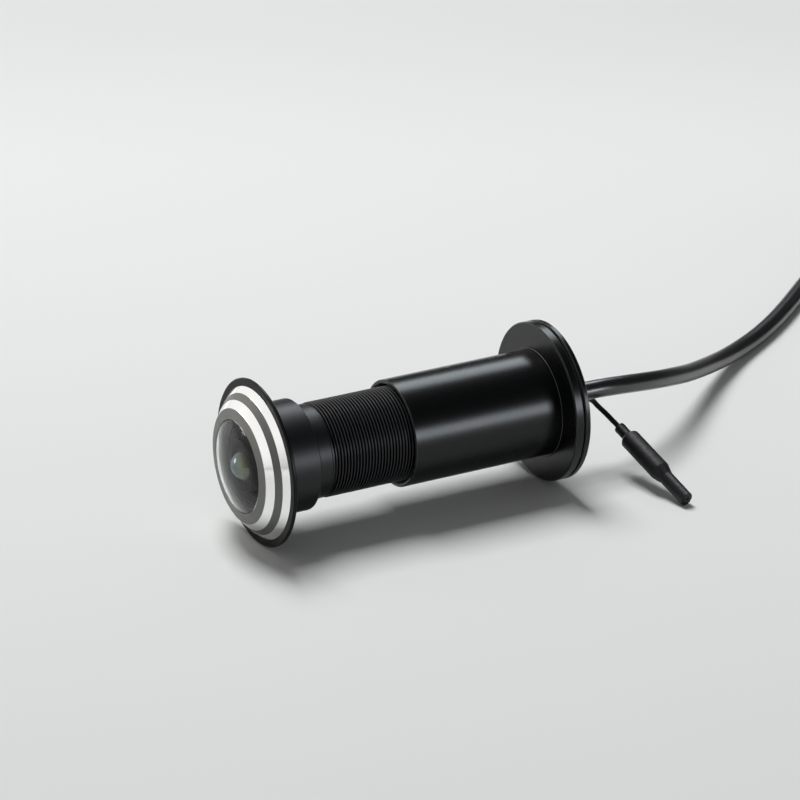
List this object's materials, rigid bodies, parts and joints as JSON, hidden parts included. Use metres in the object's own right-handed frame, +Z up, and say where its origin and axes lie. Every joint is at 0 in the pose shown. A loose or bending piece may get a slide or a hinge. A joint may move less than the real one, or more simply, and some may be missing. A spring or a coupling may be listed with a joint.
{
  "type": "peephole door camera",
  "caption": "Black door-viewer camera: domed lens in a stepped flange with bright rings, fine-threaded barrel, screw-on clamp sleeve with swivel rear cap, power cable and antenna lead.",
  "frame": {"origin": "on the barrel's axis, at the back face of the front flange, which lies against the outside of the door", "axes": "+X along the barrel from the lens to the cable, +Z up as the camera lies on a table"},
  "size_m": [0.1857, 0.0864, 0.025],
  "materials": {
    "black_anodised": "turned and black anodised, satin",
    "bright_trim": "turned and polished bright",
    "grey_anodised": "turned and grey anodised, matte",
    "lens_glass": "polished, coated",
    "filter_glass": "coated infrared filter",
    "black_rubber": "moulded, matte",
    "black_plastic": "moulded, fine grain",
    "white_plastic": "moulded",
    "red_plastic": "extruded wire insulation",
    "chip_epoxy": "moulded epoxy",
    "circuit_board": "solder mask on glass laminate",
    "bright_steel": "stamped, nickel plated",
    "gilt_brass": "gold plated",
    "cable_jacket": "extruded soft PVC, semi-matte",
    "coax_jacket": "extruded fluoropolymer",
    "shrink_tube": "heat-shrunk polyolefin",
    "strap_fabric": "woven hook-and-loop tape"
  },
  "bodies": {
    "camera": {"front_flange": "black_anodised", "outer_trim_ring": "bright_trim", "bezel_ring": "grey_anodised", "inner_trim_ring": "bright_trim", "front_glass": "lens_glass", "glass_seal": "black_rubber", "lens_hood": "black_plastic", "lens_tube": "black_plastic", "front_lens": "lens_glass", "rear_lens": "lens_glass", "lens_holder": "black_plastic", "ir_cut_filter": "filter_glass", "image_sensor": "chip_epoxy", "sensor_board": "circuit_board", "sensor_board_screws": "bright_steel", "board_link": "white_plastic", "main_board": "circuit_board", "processor": "chip_epoxy", "flash_memory": "chip_epoxy", "wifi_module": "bright_steel", "power_inductor": "chip_epoxy", "antenna_socket": "gilt_brass", "antenna_plug": "gilt_brass", "barrel": "black_anodised", "tail_plug": "black_rubber", "power_connector": "white_plastic", "power_leads": "red_plastic", "power_cable": "cable_jacket", "cable_coil": "cable_jacket", "cable_tail": "cable_jacket", "coil_strap": "strap_fabric", "usb_grip": "black_plastic", "usb_shell": "bright_steel", "usb_tongue": "white_plastic", "antenna_coax": "coax_jacket", "antenna_collar": "shrink_tube", "antenna_sheath": "shrink_tube", "antenna_tube": "gilt_brass", "antenna_rod": "white_plastic"},
    "rear_cap": {"rear_cap": "black_anodised", "cap_grommet": "black_rubber", "cap_clip": "bright_steel", "swivel_washer": "white_plastic"},
    "sleeve": {"clamp_sleeve": "black_anodised"}
  },
  "joints": [
    {"name": "cap_slide", "type": "slide", "parent": "camera", "child": "rear_cap", "axis": [1, 0, 0], "range_m": [-0.015, 0.0045]},
    {"name": "sleeve_turn", "type": "hinge", "parent": "rear_cap", "child": "sleeve", "pos_m": [0.0462, 0, 0], "axis": [1, 0, 0], "range_deg": [-10800, 3240]}
  ],
  "couplings": [
    {"joint": "cap_slide", "follows": "sleeve_turn", "m_per_rad": 0.000079577}
  ]
}
